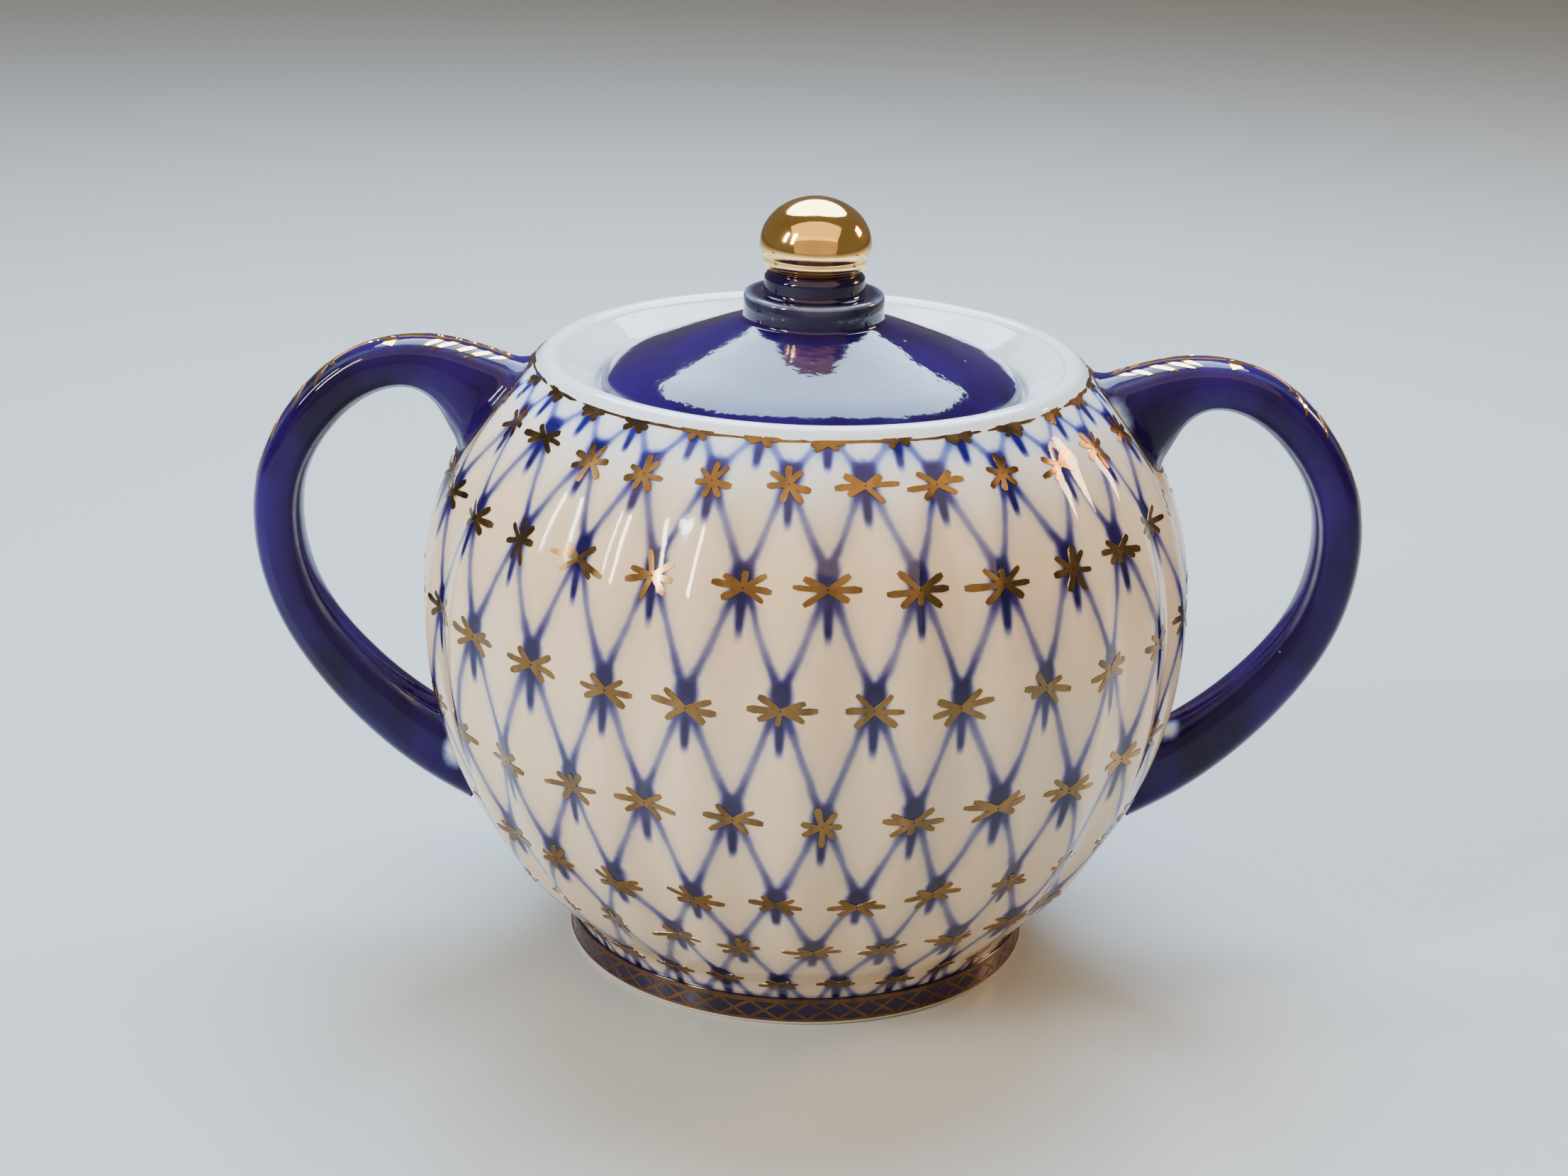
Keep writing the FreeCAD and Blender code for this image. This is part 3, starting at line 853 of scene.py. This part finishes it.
def sprig(name, side):
    """Plain leaf spray on the handle's back, a curl and a few strokes below it."""
    marks = Strokes(0.08)

    def place(x, y, lift):
        return on_handle_back(x, y, lift) * (side, 1, 1)

    def at(x, y):
        return np.array((x, y))

    stem = np.linspace(0, 1, 14)
    marks.add(place, np.stack((8 + 12 * stem, 0.5 * np.sin(stem * 4)), 1), 0.16 + 0.12 * stem)
    for x, reach in ((8.2, 3.8), (10.2, 4.6), (12.2, 4.9), (14.2, 4.7), (16.2, 4.1)):
        for sign in (-1, 1):
            heading = sign * math.radians(46 + rng.gauss(0, 4))
            reach_now = reach * rng.uniform(0.92, 1.08)
            marks.add(place, *leaf(at(x, sign * 0.3), heading, reach_now, 0.46, -0.5 * sign))
    marks.add(place, *leaf(at(18.4, 0.1), 0.05, 4.4, 0.62, 0.2))
    curl = np.linspace(0, 1, 16)
    turn = np.pi * (1.15 - 1.35 * curl)
    curve = np.stack((26.8 + 4.2 * np.cos(turn), -1.7 + 2.6 * np.sin(turn) * (1 - 0.3 * curl)), 1)
    marks.add(place, curve, 0.78 * (1 - curl) ** 0.7 + 0.12)
    for x, y, degrees, reach in (
            (30.6, -0.4, -44, 5.2), (31.6, 0.6, 30, 5.0), (35.0, -0.6, -38, 5.0),
            (36.2, 0.6, 24, 4.6), (40.6, -0.8, -28, 4.8), (42.0, 0.7, 14, 4.8),
            (46.8, -0.6, -16, 5.0), (52.4, -0.4, -6, 5.4)):
        heading = math.radians(degrees + rng.gauss(0, 3))
        marks.add(place, *leaf(at(x, y), heading, reach, 0.42, rng.gauss(0, 0.15)))
    marks.finish(name, gold_bright, "bowl")


def joint_line(name, side):
    """Brown-gold line painted on the bowl round the handle's upper joint."""
    marks = Strokes(0.10)
    ring = np.array([
        on_handle(np.array(root_of(a, True, 0.25)), np.array(a), JOINT_FILLET * 0.9)
        for a in AROUND])
    angle = np.arctan2(ring[:, 0], -ring[:, 1])
    length = belly_length(ring[:, 2])
    radius = float(np.interp(length.mean(), S, R))
    line = np.stack((angle * radius, length), 1)
    centre = line.mean(0)
    away = (line - centre) / np.linalg.norm(line - centre, axis=1)[:, None]
    line = line + away * 0.35
    line = np.concatenate((line, line[:1]))
    width = 0.42 + 0.07 * np.sin(np.linspace(0, 30, len(line)))

    def place(x, y, lift):
        return on_belly(x / radius, np.minimum(y, S[-1] - 0.05), lift) * (side, 1, 1)

    marks.add(place, line, width)
    marks.finish(name, gold_dark, "bowl")


# ---------------------------------------------------------------- lid

def lid():
    """Lid: hollow, flange, edge, cone, collar and neck in one turned shell."""
    outline = rounded(
        [(0, 99.6, 0), (8, 99.6, 2.0), (26.4, 92.6, 0.8), (26.4, 85.5, 0.5), (29, 85.5, 0.5),
         (29, 91.7, 0.4)]
        + arc((31.9, 91.7), (32.7, 92.9), 1.1, -1, 5) + arc((32.7, 92.9), (32.0, 94.2), 1.7, -1, 6)
        + arc((32.0, 94.2), (26.7, 97.2), 19.5, -1, 8)
        + [(26.7, 97.2, 0), (10.9, 103.1, 0.5), (10.9, 106.5, 0), (10.72, 106.93, 0),
           (10.3, 107.1, 0), (8.1, 107.1, 0.25), (7.8, 107.6, 0.2), (7.8, 109.6, 0.3),
           (7.0, 110.6, 0.2), (0, 110.6, 0)])

    def under_lid(r, z):
        """1, the white glaze, on the underside and the hollow; 0, cobalt, elsewhere."""
        return 1 if z < 91.75 or (r < 27 and z < 99.7 and z < 99.2 - (r - 8) * 0.3) else 0

    piece = turned("lid_porcelain", outline, [cobalt_lid, white], "lid", 192,
                   under_lid)
    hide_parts("lid_shell")
    points = np.array([v.co[:] for v in piece.data.vertices]) / MM
    r, z = np.hypot(points[:, 0], points[:, 1]), points[:, 2]
    # Pale rings at the collar's top edge and the lid's edge: partly thin glaze, partly a painted
    # highlight.
    edge = 0.8 * np.exp(-((r - 10.6) / 0.35) ** 2 - ((z - 106.9) / 0.35) ** 2)
    edge += 0.5 * np.exp(-((r - 32.6) / 0.35) ** 2 - ((z - 93.2) / 0.9) ** 2)
    attribute = piece.data.attributes.new("thin_glaze_and_highlight", "FLOAT", "POINT")
    attribute.data.foreach_set("value", edge.astype(np.float32))
    return piece


def knob():
    """Gilded knob: undercut below a crease, rounded side and a domed top."""
    rise = 121.87 - 120.1
    cap = (5.63 ** 2 + rise ** 2) / (2 * rise)
    outline = rounded(
        [(0, 110.45, 0)] + arc((7.0, 110.6), (8.15, 112.9), 2.4, -1, 7)
        + [(8.15, 112.9, 0.12)] + arc((8.7, 114.2), (5.63, 120.1), 7.2, -1, 18)
        + arc((5.63, 120.1), (0, 121.87), cap, -1, 12) + [(0, 121.87, 0)])
    piece = turned("knob_gilded", outline, [gold_bright], "lid", 160)
    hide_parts("lid_knob")
    return piece


# ---------------------------------------------------------------- stage

def area_light(name, place, target, size, power, colour, shape="RECTANGLE"):
    data = bpy.data.lights.new(name, "AREA")
    data.shape, data.size, data.size_y = shape, *size
    data.energy, data.color = power, colour
    light = bpy.data.objects.new(name, data)
    light.location = place
    light.rotation_euler = (Vector(target) - Vector(place)).to_track_quat("-Z", "Y").to_euler()
    bpy.context.scene.collection.objects.link(light)


def stage():
    mesh = bpy.data.meshes.new("floor")
    half = 4.0
    corners = [(-half, -half, 0), (half, -half, 0), (half, half, 0), (-half, half, 0)]
    mesh.from_pydata(corners, [], [(0, 1, 2, 3)])
    floor = bpy.data.objects.new("floor", mesh)
    bpy.context.scene.collection.objects.link(floor)
    graph = Graph("floor_pale")
    graph.set(Base_Color=(0.43, 0.46, 0.47, 1), Roughness=0.34)
    mesh.materials.append(graph.material)

    world = bpy.data.worlds.new("studio")
    world.use_nodes = True
    sky = world.node_tree.nodes["Background"]
    sky.inputs["Color"].default_value = (1.0, 0.90, 0.78, 1)
    sky.inputs["Strength"].default_value = 0.22
    bpy.context.scene.world = world

    area_light("overhead", (0.0, 0.34, 0.62), (0, 0, 0.09), (0.74, 0.58), 17.0,
               (0.58, 0.78, 1.0), "ELLIPSE")
    area_light("window_left", (-0.62, -0.50, 0.52), (0, 0, 0.06), (0.06, 0.36), 6.0,
               (1.0, 0.95, 0.88))
    area_light("window_left_far", (-0.78, -0.28, 0.50), (0, 0, 0.06), (0.05, 0.30), 3.5,
               (0.95, 0.97, 1.0))
    area_light("warm_right", (0.80, 0.36, 0.44), (0, 0, 0.07), (0.20, 0.20), 5.0, (1.0, 0.60, 0.30))
    area_light("warm_above", (0.0, -0.62, 1.05), (0, 0, 0.06), (2.2, 1.0), 12.0, (1.0, 0.72, 0.42))
    area_light("fill_front", (0.0, -1.6, 0.62), (0, 0, 0.06), (3.2, 1.5), 8.0, (1.0, 0.78, 0.52))


def camera():
    """Camera at the photograph's place: a 65 mm view from the front, about 20 degrees above."""
    down, yaw, roll = math.radians(19.646), math.radians(-0.163), math.radians(1.591)
    look = Vector((math.sin(yaw) * math.cos(down), math.cos(yaw) * math.cos(down), -math.sin(down)))
    right = look.cross(Vector((0, 0, 1))).normalized()
    up = right.cross(look)
    level, upright = right, up
    right = level * math.cos(roll) + upright * math.sin(roll)
    up = upright * math.cos(roll) - level * math.sin(roll)
    data = bpy.data.cameras.new("camera")
    data.sensor_width, data.lens = 36.0, 65.1
    data.clip_start, data.clip_end = 0.01, 20
    camera = bpy.data.objects.new("camera", data)
    camera.matrix_world = Matrix((right, up, -look)).transposed().to_4x4()
    camera.location = Vector((-2.19, -426.75, 210.82)) * MM
    bpy.context.scene.collection.objects.link(camera)
    bpy.context.scene.camera = camera


bowl()
gilding()
for side_name, side_sign in (("left", -1), ("right", 1)):
    handle(f"handle_{side_name}_porcelain", f"handle_{side_name}", side_sign)
    sprig(f"gilt_sprig_{side_name}", side_sign)
    joint_line(f"gilt_joint_{side_name}", side_sign)
lid()
knob()
stage()
camera()
